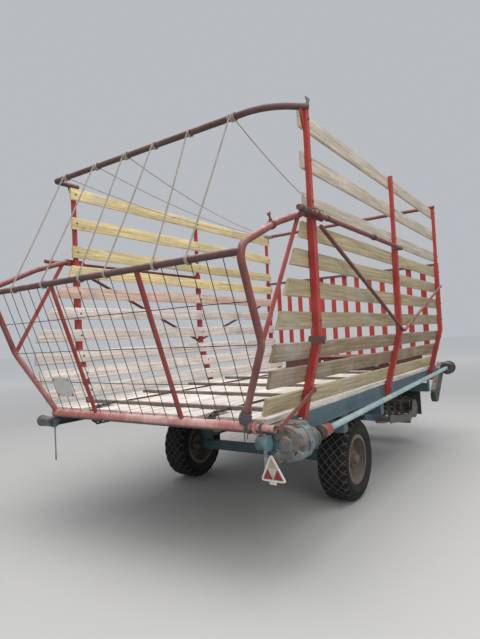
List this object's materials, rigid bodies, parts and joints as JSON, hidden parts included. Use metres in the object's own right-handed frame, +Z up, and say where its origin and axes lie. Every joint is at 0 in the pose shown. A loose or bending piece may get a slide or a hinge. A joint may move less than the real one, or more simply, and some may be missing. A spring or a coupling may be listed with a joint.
{
  "type": "hay wagon",
  "caption": "Single-axle self-loading hay wagon with plank sides on tube posts, hinged mesh tailgate, scraper floor, tined pickup, drive shaft and drawbar with parking jack.",
  "frame": {"origin": "on the ground under the middle of the wagon's bounding box", "axes": "+X to the wagon's right, +Y forwards to the towing eye, +Z up"},
  "size_m": [2.516, 6.1582, 2.89],
  "materials": {
    "post_red": "satin, scratched",
    "tube_red": "matt, faded",
    "slat_red": "satin",
    "chassis_blue": "satin, worn",
    "drive_blue": "satin, worn",
    "gearbox_blue": "oily satin",
    "plank_yellow": "weathered, rough",
    "plank_grey": "weathered, rough",
    "floor_grey": "weathered, rough",
    "steel_bare": "worn",
    "chain_steel": "rusty",
    "wire_grey": "dull",
    "rim_beige": "rusty, matt",
    "tyre": "dusty rubber",
    "apron": "coated cloth",
    "reflector": "glossy",
    "plate_white": "glossy"
  },
  "bodies": {
    "wagon": {"apron": "apron", "apron_bar": "post_red", "axle": "chassis_blue", "beam_brackets": "chassis_blue", "chassis_beams": "chassis_blue", "cross_channels": "chassis_blue", "cross_members": "chassis_blue", "drawbar_beams": "chassis_blue", "feed_channel": "slat_red", "feed_panel": "slat_red", "floor_boards": "floor_grey", "floor_chains": "chain_steel", "floor_shafts": "steel_bare", "front_bar": "tube_red", "front_gearbox": "gearbox_blue", "front_rails": "tube_red", "front_slats": "slat_red", "gate_hinges": "post_red", "gearbox_mounts": "chassis_blue", "jack_sleeve": "chassis_blue", "lower_posts": "post_red", "planks_left": "plank_yellow", "planks_right": "plank_yellow", "rear_bow": "tube_red", "rear_gearbox": "gearbox_blue", "reflector": "reflector", "reflector_straps": "steel_bare", "scraper_bars": "chain_steel", "side_braces": "tube_red", "side_rails": "chassis_blue", "tow_eye": "steel_bare", "upper_posts": "post_red"},
    "wheel_left": {"tyre_left": "tyre", "rim_left": "rim_beige"},
    "wheel_right": {"tyre_right": "tyre", "rim_right": "rim_beige"},
    "tailgate": {"gate_sides": "tube_red", "gate_cross_tubes": "tube_red", "gate_bars": "tube_red", "gate_mesh_uprights": "wire_grey", "gate_mesh_rows": "wire_grey", "speed_plate": "plate_white"},
    "latch": {"latch_bar": "tube_red"},
    "pickup": {"pickup_frame": "slat_red", "stripper_bands": "slat_red"},
    "reel": {"pickup_reel": "steel_bare"},
    "rotor": {"feed_rotor": "steel_bare"},
    "shaft": {"drive_shaft": "drive_blue"},
    "input": {"input_shaft": "steel_bare"},
    "jack": {"jack_leg": "steel_bare"}
  },
  "joints": [
    {"name": "wheel_left_spin", "type": "hinge", "parent": "wagon", "child": "wheel_left", "pos_m": [-0.844, -1.13282, 0.34], "axis": [1, 0, 0], "continuous": true},
    {"name": "wheel_right_spin", "type": "hinge", "parent": "wagon", "child": "wheel_right", "pos_m": [0.844, -1.13282, 0.34], "axis": [1, 0, 0], "continuous": true},
    {"name": "tailgate_lift", "type": "hinge", "parent": "wagon", "child": "tailgate", "pos_m": [0, -2.34582, 2.165], "axis": [-1, 0, 0], "range_deg": [0, 85]},
    {"name": "latch_swing", "type": "hinge", "parent": "wagon", "child": "latch", "pos_m": [1.1433, -2.26082, 1.06], "axis": [-1, 0, 0], "range_deg": [0, 30]},
    {"name": "pickup_lower", "type": "hinge", "parent": "wagon", "child": "pickup", "pos_m": [0, 0.25918, 0.43], "axis": [-1, 0, 0], "range_deg": [0, 11]},
    {"name": "pickup_reel_spin", "type": "hinge", "parent": "pickup", "child": "reel", "pos_m": [0, 1.19918, 0.41], "axis": [1, 0, 0], "continuous": true},
    {"name": "feed_rotor_spin", "type": "hinge", "parent": "wagon", "child": "rotor", "pos_m": [0, 0.85918, 0.735], "axis": [1, 0, 0], "continuous": true},
    {"name": "drive_shaft_spin", "type": "hinge", "parent": "wagon", "child": "shaft", "pos_m": [1.12, -2.05382, 0.772], "axis": [0, 0.9996, 0.0285], "continuous": true},
    {"name": "input_shaft_spin", "type": "hinge", "parent": "wagon", "child": "input", "pos_m": [0, 1.96118, 0.87], "axis": [0, 1, 0], "continuous": true},
    {"name": "jack_raise", "type": "slide", "parent": "wagon", "child": "jack", "axis": [0, 0, 1], "range_m": [0, 0.3]}
  ]
}
